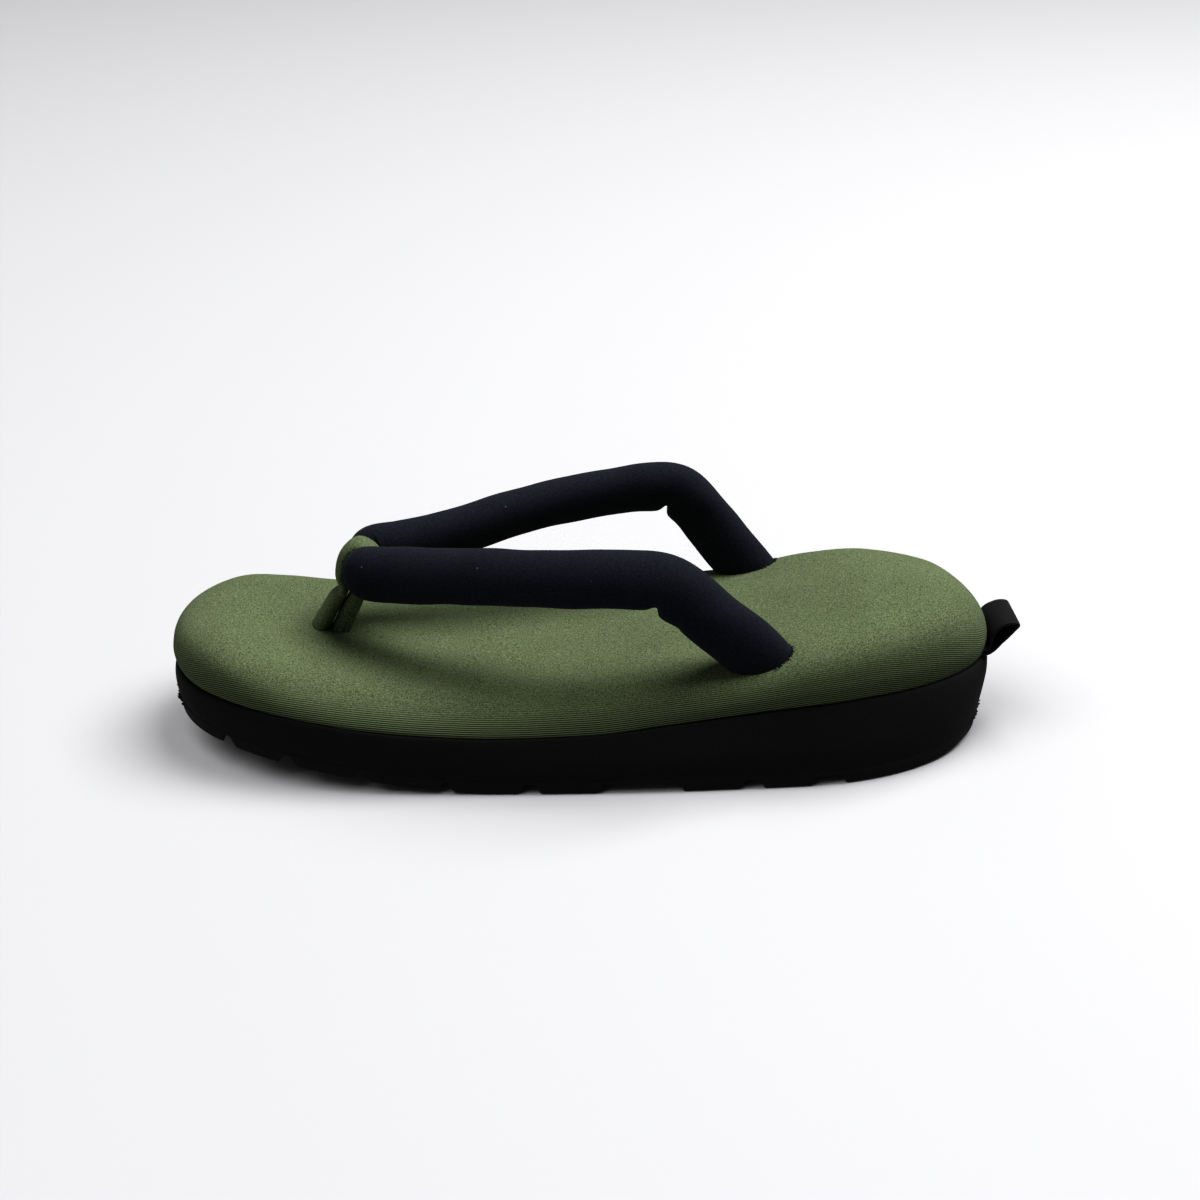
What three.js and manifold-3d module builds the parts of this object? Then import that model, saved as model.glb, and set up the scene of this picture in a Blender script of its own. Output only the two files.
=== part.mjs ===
// A padded setta: a cushioned sandal with a stuffed V-shaped strap and a thong between the toes.
// Millimetres. +X points to the toe, +Y to the wearer's left and +Z up; the sandal stands on z = 0.
import * as THREE from "three";
import { mergeVertices } from "three/addons/utils/BufferGeometryUtils.js";
import Module from "manifold-3d";

// Driving sizes
const LENGTH = 266; // toe tip to heel tip
const TAB_REACH = 9.37; // how far the heel tab stands out behind the heel tip
const SEAT_GAP = 0.3; // clearance between pieces that touch
const TREAD_SHEET = 5; // thickness of the outsole
const STATIONS = 46; // points along each half of the outline
const TOE_X = (LENGTH + TAB_REACH) / 2;

// Half of the outline seen from above. heading is the outline's direction in degrees, 0 along the
// length and 90 straight out; before and after are the lengths of the curve's handles.
const OUTLINE = [
  { place: "toe tip", fromToe: 0, half: 0, heading: 90, before: 0, after: 31 },
  { place: "ball", fromToe: 80, half: 51.2, heading: 0, before: 50, after: 32 },
  { place: "hip", fromToe: 205, half: 44, heading: -4.5, before: 35, after: 26 },
  { place: "heel tip", fromToe: 266, half: 0, heading: -90, before: 25, after: 0 },
];

// The centre line from the side: underside of the tread, top of the sole and top of the cushion as
// heights, how far the cushion's edge goes from full to round, how far the sole's lower edge flares out past
// the outline and how far its side bulges.
const PROFILE = [
  { fromToe: 0, tread: 10.2, seat: 25.7, crest: 44, round: -0.15, flare: 0, bulge: 1.2 },
  { fromToe: 15, tread: 9.8, seat: 25.7, crest: 43.3, round: 0, flare: 0, bulge: 1 },
  { fromToe: 30, tread: 8.6, seat: 25.2, crest: 39.7, round: 0.45, flare: 0.2, bulge: 0.8 },
  { fromToe: 45, tread: 6.8, seat: 24.1, crest: 36.1, round: 0.85, flare: 0.4, bulge: 0.7 },
  { fromToe: 64, tread: 4.5, seat: 22.2, crest: 33, round: 1, flare: 0.6, bulge: 0.7 },
  { fromToe: 88, tread: 1.2, seat: 20.2, crest: 30.8, round: 1, flare: 0.8, bulge: 0.7 },
  { fromToe: 107, tread: 0, seat: 19.2, crest: 30.4, round: 1, flare: 1.4, bulge: 0.8 },
  { fromToe: 135, tread: 0, seat: 19.5, crest: 32.4, round: 0.9, flare: 2.4, bulge: 0.9 },
  { fromToe: 160, tread: 0, seat: 22.2, crest: 36.6, round: 0.5, flare: 3, bulge: 1 },
  { fromToe: 185, tread: 0, seat: 25.2, crest: 41.2, round: 0.15, flare: 3, bulge: 1.1 },
  { fromToe: 210, tread: 0, seat: 27.6, crest: 47.4, round: 0, flare: 2.6, bulge: 1.2 },
  { fromToe: 230, tread: 0, seat: 28.5, crest: 51.6, round: -0.05, flare: 2.2, bulge: 1.4 },
  { fromToe: 248, tread: 0.5, seat: 28.5, crest: 52.6, round: 0, flare: 1.2, bulge: 1.6 },
  { fromToe: 266, tread: 2.5, seat: 28, crest: 47.4, round: 0.05, flare: -1.4, bulge: 1.8 },
];

// The cushion's edge, from its tucked lower rim up towards its top: how far each ring lies inside the
// outline where the edge is full and where it is round, and its share of the cushion's height. The crown goes
// on from there: each ring's share of the way in to the spine on the centre line, and its share of the height.
const CUSHION_EDGE = [
  { full: 2.2, round: 1, rise: 0 },
  { full: 0.4, round: 0.5, rise: 0.08 },
  { full: -0.8, round: 1.2, rise: 0.24 },
  { full: -0.5, round: 2.4, rise: 0.38 },
  { full: 0.2, round: 4, rise: 0.52 },
  { full: 1.5, round: 6, rise: 0.65 },
  { full: 3.6, round: 8.2, rise: 0.77 },
  { full: 7, round: 10.8, rise: 0.87 },
  { full: 12.5, round: 14.4, rise: 0.945 },
];
const CUSHION_CROWN = [
  { share: 0.62, rise: 0.985 },
  { share: 0.82, rise: 0.997 },
  { share: 1, rise: 1 },
];
const FLAT_RINGS = [0.45, 1]; // rings of a flat face, as shares of the way in to the spine
const TOE_CENTRE = 46; // ends of the spine, from the toe tip
const HEEL_CENTRE = 232;

// The side of the midsole and of the outsole, upwards: share of the piece's height, how far the ring lies
// inside the outline, and its shares of the bulge and of the lower edge's flare.
const MIDSOLE_SIDE = [
  { level: 0, inset: 0.5, bulge: 0.2, flare: 0.85 },
  { level: 0.35, inset: 0, bulge: 0.85, flare: 0.75 },
  { level: 0.68, inset: 0, bulge: 1, flare: 0.3 },
  { level: 0.9, inset: 0, bulge: 0.6, flare: 0 },
  { level: 1, inset: 0.8, bulge: 0, flare: 0 },
];
const OUTSOLE_SIDE = [
  { level: 0, inset: 1.2, bulge: 0, flare: 1 },
  { level: 0.18, inset: 0.3, bulge: 0, flare: 1 },
  { level: 0.5, inset: 0, bulge: 0, flare: 1 },
  { level: 1, inset: 0, bulge: 0.2, flare: 0.9 },
];

// Grooves across the tread that leave the lugs standing between them.
const GROOVES = [
  { fromToe: 20.4, wide: 5 },
  { fromToe: 40.5, wide: 6 },
  { fromToe: 64.6, wide: 5 },
  { fromToe: 90.5, wide: 5 },
  { fromToe: 117, wide: 7 },
  { fromToe: 152, wide: 27 },
  { fromToe: 187.2, wide: 8 },
  { fromToe: 211.7, wide: 11 },
];
const GROOVE_DEEP = 3.4;
const GROOVE_DRAFT = 1.6; // how much narrower a groove's roof is on each side

// The left half of the strap, from its pinched nose to its tail in the cushion. The roll is an oval: thin
// and broad are its half sizes, and lean tips its broad way inwards from upright, in degrees.
const STRAP = [
  { place: "pinch", fromToe: 61.1, side: 0, height: 56.3, thin: 4.2, broad: 5.8, lean: 0 },
  { place: "nose", fromToe: 63.4, side: 7.4, height: 56.9, thin: 7.4, broad: 8.8, lean: 0 },
  { place: "crotch", fromToe: 73.5, side: 11, height: 57.9, thin: 7.8, broad: 9.1, lean: 15 },
  { place: "front of arm", fromToe: 91, side: 18.2, height: 60.4, thin: 7.5, broad: 9.1, lean: 35 },
  { place: "middle of arm", fromToe: 109, side: 25.8, height: 63.6, thin: 7.4, broad: 9.1, lean: 40 },
  { place: "back of arm", fromToe: 134, side: 34.4, height: 66.8, thin: 7.4, broad: 9.2, lean: 40 },
  { place: "before bend", fromToe: 151, side: 38.2, height: 68.2, thin: 7.5, broad: 9.2, lean: 32 },
  { place: "bend", fromToe: 163, side: 39, height: 66.8, thin: 7.4, broad: 9.3, lean: 20 },
  { place: "leg", fromToe: 176, side: 37.6, height: 54.4, thin: 7, broad: 9.5, lean: 8 },
  { place: "anchor", fromToe: 188, side: 35.5, height: 41.6, thin: 6.4, broad: 9.6, lean: 0 },
  { place: "tail", fromToe: 193.5, side: 34.6, height: 35.2, thin: 5.8, broad: 9.2, lean: 0 },
];
const STRAP_STEPS = 5; // sections between two rows
const STRAP_SIDES = 16;

// The thong's two strands on the centre line, from the crest of the loop down to the tail in the cushion.
const THONG_FRONT = [
  { place: "crest", fromToe: 61, height: 64, thick: 3.8, wide: 9.4 },
  { place: "shoulder", fromToe: 56.6, height: 60.4, thick: 3.8, wide: 9.4 },
  { place: "front", fromToe: 55.2, height: 54.6, thick: 4, wide: 9.6 },
  { place: "throat", fromToe: 54.6, height: 47.6, thick: 5, wide: 9.8 },
  { place: "neck", fromToe: 50.9, height: 41.4, thick: 5.2, wide: 10 },
  { place: "base", fromToe: 46.9, height: 34.6, thick: 5.3, wide: 10.2 },
  { place: "tail", fromToe: 44.8, height: 29.5, thick: 5.2, wide: 9.8 },
];
const THONG_REAR = [
  { place: "crest", fromToe: 61, height: 64, thick: 3.8, wide: 9.4 },
  { place: "dive", fromToe: 65.8, height: 61.2, thick: 3.8, wide: 9 },
  { place: "crotch", fromToe: 66.8, height: 55.6, thick: 4.2, wide: 8.8 },
  { place: "throat", fromToe: 60.2, height: 46.6, thick: 5.2, wide: 9.6 },
  { place: "neck", fromToe: 56.4, height: 41, thick: 5.4, wide: 10.2 },
  { place: "base", fromToe: 52.4, height: 34.4, thick: 5.4, wide: 10.4 },
  { place: "tail", fromToe: 50.2, height: 29.5, thick: 5.2, wide: 9.8 },
];
const THONG_STEPS = 3;

// The heel tab's two layers of ribbon, from the fold at its tip back to the root in the seam.
const TAB_WIDE = 22;
const TAB_THICK = 1.2;
const TAB_UPPER = [
  { place: "fold", fromToe: 274.8, height: 39.2 },
  { place: "upper face", fromToe: 270.8, height: 38.7 },
  { place: "bend by the cushion", fromToe: 267.2, height: 36 },
  { place: "seam", fromToe: 265.9, height: 31 },
  { place: "root", fromToe: 258.5, height: 30 },
];
const TAB_LOWER = [
  { place: "fold", fromToe: 274.8, height: 39.2 },
  { place: "under the fold", fromToe: 274.4, height: 36.4 },
  { place: "lower face", fromToe: 270.8, height: 32.4 },
  { place: "seam", fromToe: 266.6, height: 29.9 },
  { place: "root", fromToe: 258.5, height: 29.4 },
];
const RIBBON_STEPS = 3;

// Dimples that the strap and the thong pull into the top of the cushion.
const DIMPLES = [
  { place: "thong", fromToe: 49.5, side: 0, reach: 13, deep: 0.9 },
  { place: "left anchor", fromToe: 187, side: 35, reach: 17, deep: 1.3 },
  { place: "right anchor", fromToe: 187, side: -35, reach: 17, deep: 1.3 },
];

const wasm = await Module();
wasm.setup();
const { Manifold, Mesh: SolidMesh } = wasm;
const UP = new THREE.Vector3(0, 0, 1);
const ACROSS = new THREE.Vector3(0, 1, 0);

// Smooth value of one column of PROFILE at a distance from the toe, with no overshoot between rows.
function along(column, fromToe) {
  const last = PROFILE.length - 2;
  const place = THREE.MathUtils.clamp(fromToe, 0, LENGTH);
  let row = 0;
  while (row < last && PROFILE[row + 1].fromToe < place) row += 1;
  const rise = (i) =>
    (PROFILE[i + 1][column] - PROFILE[i][column]) / (PROFILE[i + 1].fromToe - PROFILE[i].fromToe);
  const slope = (i) => {
    if (i === 0) return rise(0);
    if (i > last) return rise(last);
    const product = rise(i - 1) * rise(i);
    return product <= 0 ? 0 : (2 * product) / (rise(i - 1) + rise(i));
  };
  const span = PROFILE[row + 1].fromToe - PROFILE[row].fromToe;
  const t = (place - PROFILE[row].fromToe) / span;
  const from = PROFILE[row][column] * (1 + 2 * t) + slope(row) * span * t;
  const to = PROFILE[row + 1][column] * (3 - 2 * t) - slope(row + 1) * span * (1 - t);
  return from * (1 - t) ** 2 + to * t ** 2;
}

// The outline as points from the toe tip down the left side to the heel and back up the right side,
// each with the direction that points outwards.
function outlinePoints() {
  const half = new THREE.CurvePath();
  const heading = (row) => {
    const angle = THREE.MathUtils.degToRad(row.heading);
    return new THREE.Vector2(Math.cos(angle), Math.sin(angle));
  };
  for (let i = 0; i + 1 < OUTLINE.length; i += 1) {
    const from = new THREE.Vector2(OUTLINE[i].fromToe, OUTLINE[i].half);
    const to = new THREE.Vector2(OUTLINE[i + 1].fromToe, OUTLINE[i + 1].half);
    const leave = from.clone().addScaledVector(heading(OUTLINE[i]), OUTLINE[i].after);
    const arrive = to.clone().addScaledVector(heading(OUTLINE[i + 1]), -OUTLINE[i + 1].before);
    half.add(new THREE.CubicBezierCurve(from, leave, arrive, to));
  }
  const left = half.getSpacedPoints(STATIONS);
  const right = left.slice(1, -1).reverse().map((p) => new THREE.Vector2(p.x, -p.y));
  const points = [...left, ...right];
  return points.map((point, i) => {
    const before = points.at(i - 1);
    const after = points[(i + 1) % points.length];
    const run = after.clone().sub(before).normalize();
    return { fromToe: point.x, side: point.y, out: new THREE.Vector2(-run.y, run.x) };
  });
}

// A closed solid skinned over rings of points; its first and last rings are drawn together.
function skin(rings) {
  const count = rings[0].length;
  const corners = [];
  for (let k = 0; k + 1 < rings.length; k += 1) {
    for (let i = 0; i < count; i += 1) {
      const a = k * count + i;
      const b = k * count + ((i + 1) % count);
      corners.push(a, b, b + count, a, b + count, a + count);
    }
  }
  const places = rings.flat().flatMap((p) => [p.x, p.y, p.z]);
  const surface = new THREE.BufferGeometry()
    .setAttribute("position", new THREE.Float32BufferAttribute(places, 3))
    .setIndex(corners);
  return solidOf(surface);
}

// A three.js geometry as a solid that can be joined and cut.
function solidOf(geometry) {
  const bare = new THREE.BufferGeometry().setAttribute("position", geometry.getAttribute("position"));
  const merged = mergeVertices(bare.setIndex(geometry.index), 1e-4);
  const all = merged.index.array;
  const kept = [];
  for (let i = 0; i < all.length; i += 3) {
    const [a, b, c] = all.slice(i, i + 3);
    if (a !== b && b !== c && a !== c) kept.push(a, b, c);
  }
  const vertProperties = merged.getAttribute("position").array;
  return new Manifold(new SolidMesh({ numProp: 3, vertProperties, triVerts: new Uint32Array(kept) }));
}

const outline = outlinePoints();

// One ring of the outline moved inwards, at the height that heightAt gives.
function ring(insetAt, heightAt) {
  return outline.map((station) => {
    const inset = insetAt(station.fromToe);
    const fromToe = station.fromToe - station.out.x * inset;
    const side = station.side - station.out.y * inset;
    return new THREE.Vector3(TOE_X - fromToe, side, heightAt(fromToe, side, station.fromToe));
  });
}

// The outline drawn part of the way in to the spine on the centre line; share 1 lies on the spine.
function drawnIn(share, heightAt) {
  return outline.map((station) => {
    const centre = THREE.MathUtils.clamp(station.fromToe, TOE_CENTRE, HEEL_CENTRE);
    const fromToe = THREE.MathUtils.lerp(station.fromToe, centre, share);
    const side = station.side * (1 - share);
    return new THREE.Vector3(TOE_X - fromToe, side, heightAt(fromToe, side));
  });
}

const treadAt = (fromToe) => along("tread", fromToe);
const webAt = (fromToe) => along("tread", fromToe) + TREAD_SHEET;
const seatAt = (fromToe) => along("seat", fromToe);

// Top of the cushion at its full height, dimples included.
function crestAt(fromToe, side) {
  const dents = DIMPLES.map((dimple) => {
    const away = Math.hypot(fromToe - dimple.fromToe, side - dimple.side) / dimple.reach;
    return dimple.deep * Math.exp(-2 * away * away);
  });
  return along("crest", fromToe) - dents.reduce((sum, dent) => sum + dent, 0);
}

// A slab between two heights whose side follows a table of rings.
function slab(sides, lowAt, highAt) {
  const sideRings = sides.map(({ level, inset, bulge, flare }) =>
    ring(
      (fromToe) => inset - bulge * along("bulge", fromToe) - flare * along("flare", fromToe),
      (fromToe, side, station) => THREE.MathUtils.lerp(lowAt(station), highAt(station), level),
    ),
  );
  const under = FLAT_RINGS.map((share) => drawnIn(share, lowAt)).reverse();
  const over = FLAT_RINGS.map((share) => drawnIn(share, highAt));
  return skin([...under, ...sideRings, ...over]);
}

// The tread sheet with its lugs: each groove is a tapered bar cut across it along the rocker.
function makeOutsole() {
  const sheet = slab(OUTSOLE_SIDE, treadAt, webAt);
  const bars = GROOVES.map(({ fromToe, wide }) => {
    const half = wide / 2;
    const profile = new THREE.Shape([
      new THREE.Vector2(-half - GROOVE_DRAFT, -GROOVE_DEEP),
      new THREE.Vector2(half + GROOVE_DRAFT, -GROOVE_DEEP),
      new THREE.Vector2(half - GROOVE_DRAFT, GROOVE_DEEP),
      new THREE.Vector2(GROOVE_DRAFT - half, GROOVE_DEEP),
    ]);
    const bar = new THREE.ExtrudeGeometry(profile, { depth: 140, bevelEnabled: false });
    const tilt = Math.atan2(treadAt(fromToe - half) - treadAt(fromToe + half), wide);
    bar.translate(0, 0, -70).rotateX(Math.PI / 2).rotateY(-tilt);
    bar.translate(TOE_X - fromToe, 0, treadAt(fromToe));
    return solidOf(bar);
  });
  return bars.reduce((sole, bar) => sole.subtract(bar), sheet);
}

function makeMidsole() {
  return slab(MIDSOLE_SIDE, (fromToe) => webAt(fromToe) + SEAT_GAP, seatAt);
}

function makeCushion() {
  const floorAt = (fromToe) => seatAt(fromToe) + SEAT_GAP;
  const edge = CUSHION_EDGE.map(({ full, round, rise }) =>
    ring(
      (fromToe) => THREE.MathUtils.lerp(full, round, along("round", fromToe)),
      (fromToe, side, station) => THREE.MathUtils.lerp(floorAt(station), crestAt(fromToe, side), rise),
    ),
  );
  const under = FLAT_RINGS.map((share) => drawnIn(share, floorAt)).reverse();
  const over = CUSHION_CROWN.map(({ share, rise }) =>
    drawnIn(share, (fromToe, side) => THREE.MathUtils.lerp(floorAt(fromToe), crestAt(fromToe, side), rise)),
  );
  return skin([...under, ...edge, ...over]);
}

// A roll swept along a curve: each section is an oval, or squarer where corner is above 2.
function roll(sections, sides, corner) {
  const rings = sections.map(({ centre, thinAxis, broadAxis }) =>
    Array.from({ length: sides }, (_, i) => {
      const angle = (2 * Math.PI * i) / sides;
      const round = (value) => Math.sign(value) * Math.abs(value) ** (2 / corner);
      return centre
        .clone()
        .addScaledVector(thinAxis, round(Math.cos(angle)))
        .addScaledVector(broadAxis, round(Math.sin(angle)));
    }),
  );
  const closeAt = (section) => Array(sides).fill(section.centre);
  return skin([closeAt(sections[0]), ...rings, closeAt(sections.at(-1))]);
}

// Sections along placed rows: steps between two rows, sizes drawn out by grow for a clearance.
function sectionsOf(rows, steps, acrossAt, grow) {
  const path = new THREE.CatmullRomCurve3(rows.map((row) => row.centre));
  const sizes = new THREE.CatmullRomCurve3(
    rows.map((row) => new THREE.Vector3(row.thin, row.broad, THREE.MathUtils.degToRad(row.lean))),
  );
  const count = (rows.length - 1) * steps;
  return Array.from({ length: count + 1 }, (_, i) => {
    const run = path.getTangent(i / count);
    const size = sizes.getPoint(i / count);
    const thinAxis = acrossAt(run).applyAxisAngle(run, size.z);
    const broadAxis = run.clone().cross(thinAxis);
    return {
      centre: path.getPoint(i / count),
      thinAxis: thinAxis.multiplyScalar(size.x + grow),
      broadAxis: broadAxis.multiplyScalar(size.y + grow),
    };
  });
}

// The whole strap in one sweep, from the left tail over the nose to the right tail.
function sweepStrap(grow) {
  const place = (row, hand) => ({
    ...row,
    centre: new THREE.Vector3(TOE_X - row.fromToe, hand * row.side, row.height),
  });
  const left = STRAP.map((row) => place(row, 1)).reverse();
  const right = STRAP.slice(1).map((row) => place(row, -1));
  const level = (run) => UP.clone().cross(run).normalize();
  return roll(sectionsOf([...left, ...right], STRAP_STEPS, level, grow), STRAP_SIDES, 2);
}

// A band swept down the centre line from a table of its strand.
function sweepStrand(rows, steps, corner, grow) {
  const placed = rows.map((row) => ({
    thin: row.wide / 2,
    broad: row.thick / 2,
    lean: 0,
    centre: new THREE.Vector3(TOE_X - row.fromToe, 0, row.height),
  }));
  return roll(sectionsOf(placed, steps, () => ACROSS.clone(), grow), 12, corner);
}

function sweepThong(grow) {
  return sweepStrand(THONG_FRONT, THONG_STEPS, 2.6, grow).add(sweepStrand(THONG_REAR, THONG_STEPS, 2.6, grow));
}

function sweepTab(grow) {
  const layer = (rows) =>
    sweepStrand(
      rows.map((row) => ({ ...row, wide: TAB_WIDE, thick: TAB_THICK })),
      RIBBON_STEPS,
      8,
      grow,
    );
  return layer(TAB_UPPER).add(layer(TAB_LOWER));
}

// A named mesh for the scene graph.
function piece(name, solid, colour, roughness) {
  const made = solid.getMesh();
  const geometry = new THREE.BufferGeometry()
    .setAttribute("position", new THREE.BufferAttribute(made.vertProperties, 3))
    .setIndex(new THREE.BufferAttribute(made.triVerts, 1));
  geometry.computeVertexNormals();
  const material = new THREE.MeshStandardMaterial({ color: colour, roughness, metalness: 0 });
  const mesh = new THREE.Mesh(geometry, material);
  mesh.name = name;
  return mesh;
}

const strap = sweepStrap(0).subtract(sweepThong(SEAT_GAP));
const cushion = makeCushion()
  .subtract(sweepStrap(SEAT_GAP))
  .subtract(sweepThong(SEAT_GAP))
  .subtract(sweepTab(SEAT_GAP));

const sandal = new THREE.Group();
sandal.add(
  piece("outsole", makeOutsole(), "#131314", 0.85),
  piece("midsole", makeMidsole(), "#101011", 0.8),
  piece("footbed", cushion, "#58683f", 0.9),
  piece("hanao", strap, "#10121b", 0.9),
  piece("maetsubo", sweepThong(0), "#5d6d43", 0.9),
  piece("heel_tab", sweepTab(0), "#161616", 0.7),
);
export default sandal;
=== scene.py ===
"""A padded setta sandal: knit-covered cushion, stuffed strap and thong on a black lugged sole."""

import math
from collections import namedtuple

import bmesh
import bpy
import numpy as np
from mathutils import Matrix, Vector
from mathutils.bvhtree import BVHTree


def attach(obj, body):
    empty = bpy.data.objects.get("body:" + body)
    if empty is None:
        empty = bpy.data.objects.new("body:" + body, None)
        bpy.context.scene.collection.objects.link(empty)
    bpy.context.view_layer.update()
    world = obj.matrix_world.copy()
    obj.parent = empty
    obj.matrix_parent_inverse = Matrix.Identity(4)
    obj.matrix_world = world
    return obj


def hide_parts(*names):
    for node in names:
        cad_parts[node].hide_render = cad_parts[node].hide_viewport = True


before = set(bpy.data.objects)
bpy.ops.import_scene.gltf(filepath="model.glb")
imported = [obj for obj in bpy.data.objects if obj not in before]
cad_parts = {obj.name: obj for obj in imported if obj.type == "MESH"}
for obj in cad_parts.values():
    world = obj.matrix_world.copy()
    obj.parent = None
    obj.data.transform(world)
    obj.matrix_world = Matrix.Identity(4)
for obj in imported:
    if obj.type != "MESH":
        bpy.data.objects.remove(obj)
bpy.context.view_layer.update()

# Sizes are in millimetres here, with +X to the toe; MM turns them to metres.
MM = 0.001
LENGTH = 266.0
TAB_REACH = 9.37
TOE_X = (LENGTH + TAB_REACH) / 2
SEAT_GAP = 0.3
TREAD_SHEET = 5.0
GLUE_LINE = 0.04
SEED = 7

# Fineness of the meshes: steps along half of the outline and points round each roll.
EDGE_STEPS = 220
TREAD_STEPS = 440
STRAP_ROUND = 56
BAND_ROUND = 48

# Half of the outline from above: heading in degrees, 0 along the length; before and after are handles.
Corner = namedtuple("Corner", "place from_toe half heading before after")
OUTLINE = [
    Corner("toe tip", 0, 0, 90, 0, 31),
    Corner("ball", 80, 51.2, 0, 50, 32),
    Corner("hip", 205, 44, -4.5, 35, 26),
    Corner("heel tip", 266, 0, -90, 25, 0),
]

# Heights along the centre line, how far the cushion's edge goes from full to round, the flare of the sole's
# lower edge and the bulge of its side.
Profile = namedtuple("Profile", "from_toe tread seat crest round flare bulge")
PROFILE = [
    Profile(0, 10.2, 25.7, 44, -0.15, 0, 1.2),
    Profile(15, 9.8, 25.7, 43.3, 0, 0, 1),
    Profile(30, 8.6, 25.2, 39.7, 0.45, 0.2, 0.8),
    Profile(45, 6.8, 24.1, 36.1, 0.85, 0.4, 0.7),
    Profile(64, 4.5, 22.2, 33, 1, 0.6, 0.7),
    Profile(88, 1.2, 20.2, 30.8, 1, 0.8, 0.7),
    Profile(107, 0, 19.2, 30.4, 1, 1.4, 0.8),
    Profile(135, 0, 19.5, 32.4, 0.9, 2.4, 0.9),
    Profile(160, 0, 22.2, 36.6, 0.5, 3, 1),
    Profile(185, 0, 25.2, 41.2, 0.15, 3, 1.1),
    Profile(210, 0, 27.6, 47.4, 0, 2.6, 1.2),
    Profile(230, 0, 28.5, 51.6, -0.05, 2.2, 1.4),
    Profile(248, 0.5, 28.5, 52.6, 0, 1.2, 1.6),
    Profile(266, 2.5, 28, 47.4, 0.05, -1.4, 1.8),
]

# The cushion's edge as insets from the outline, where it is full and where it is round, and shares of its
# height; then its crown as shares of the way in to the spine.
Edge = namedtuple("Edge", "full round rise")
CUSHION_EDGE = [
    Edge(1.4, 0.6, -0.05),
    Edge(0, 0.2, 0.05),
    Edge(-0.8, 1.2, 0.24),
    Edge(-0.5, 2.4, 0.38),
    Edge(0.2, 4, 0.52),
    Edge(1.5, 6, 0.65),
    Edge(3.6, 8.2, 0.77),
    Edge(7, 10.8, 0.87),
    Edge(12.5, 14.4, 0.945),
]
Crown = namedtuple("Crown", "share rise")
CUSHION_CROWN = [Crown(0.62, 0.985), Crown(0.82, 0.997), Crown(1, 1)]
TOE_CENTRE = 46.0
HEEL_CENTRE = 232.0
CUSHION_USUAL = 20.0  # a usual height of the cushion, which spaces the curve of its edge

# The cover's rows of stitches run between the middle line's way, at 1, and the seam's, at 0; round toe and
# heel they turn on a soft curve.
ROWS_BY_MIDDLE = 0.5
ROWS_TURN = 25.0
# ROWS_STRENGTH and ROWS_FULL also set the painted shade that the dark ground between the rows gives the
# cushion's lower side.
ROWS_STRENGTH = 0.7
ROWS_FULL = 0.2  # the rows show most up to this share of the height that they reach

# Dimples that the thong and the strap pull into the cushion.
Dimple = namedtuple("Dimple", "place from_toe side reach deep")
DIMPLES = [
    Dimple("thong", 49.5, 0, 13, 0.9),
    Dimple("left anchor", 187, 35, 17, 1.3),
    Dimple("right anchor", 187, -35, 17, 1.3),
]

# The sole's side, upwards: share of the piece's height, inset, and shares of bulge and flare.
Side = namedtuple("Side", "level inset bulge flare")
MIDSOLE_SIDE = [
    Side(0, 0.06, 0.2, 0.9),
    Side(0.06, 0, 0.35, 0.86),
    Side(0.35, 0, 0.85, 0.75),
    Side(0.65, 0, 1, 0.3),
    Side(0.82, 0, 0.85, 0.1),
    Side(0.93, 0, 0.55, 0),
    Side(0.98, 0.1, 0.3, 0),
    Side(1, 0.7, 0.1, 0),
]
OUTSOLE_SIDE = [
    Side(0, 1.2, 0, 1),
    Side(0.18, 0.3, 0, 1),
    Side(0.5, 0, 0, 1),
    Side(0.92, 0, 0.2, 0.9),
    Side(1, 0.06, 0.2, 0.9),
]

# Grooves across the tread, then their depth, the lean of their walls and the rounding of the walls' ends.
Groove = namedtuple("Groove", "from_toe wide")
GROOVES = [
    Groove(20.4, 5),
    Groove(40.5, 6),
    Groove(64.6, 5),
    Groove(90.5, 5),
    Groove(117, 7),
    Groove(152, 27),
    Groove(187.2, 8),
    Groove(211.7, 11),
]
GROOVE_DEEP = 3.4
GROOVE_DRAFT = 1.6
GROOVE_EASE = 0.4

# The ragged trim left on the tread's upper edge: its size, how far it goes on from each tip, and its height
# as a share of the sheet's.
TRIM_RAGGED = 1.1
TRIM_TOE = 4.0
TRIM_HEEL = 5.0
TRIM_HIGH = 0.15

# The left half of the strap from pinched nose to tail: an oval roll, its broad way leaning inwards. The
# hand-set bends aren't quite level with each other: skew is a place's share of BEND_SKEW.
Roll = namedtuple("Roll", "place from_toe side height thin broad lean skew")
STRAP = [
    Roll("pinch", 61.1, 0, 56.3, 4.2, 5.8, 0, 0),
    Roll("nose", 63.4, 7.4, 56.9, 7.4, 8.8, 0, 0),
    Roll("crotch", 73.5, 11, 57.9, 7.8, 9.1, 15, 0),
    Roll("front of arm", 91, 18.2, 60.4, 7.5, 9.1, 35, 0),
    Roll("middle of arm", 109, 25.8, 63.6, 7.4, 9.1, 40, 0.1),
    Roll("back of arm", 134, 34.4, 66.8, 7.4, 9.2, 40, 0.5),
    Roll("before bend", 151, 38.2, 68.2, 7.5, 9.2, 32, 1),
    Roll("bend", 163, 39, 66.8, 7.4, 9.3, 20, 1),
    Roll("leg", 176, 37.6, 54.4, 7, 9.5, 8, 0.5),
    Roll("anchor", 188, 35.5, 41.6, 6.4, 9.6, 0, 0),
    Roll("tail", 193.5, 34.6, 35.2, 5.8, 9.2, 0, 0),
]
BEND_SKEW = 2.7
BEND_SIDE = 20.0  # both bends lie further out from the middle than this

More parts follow.
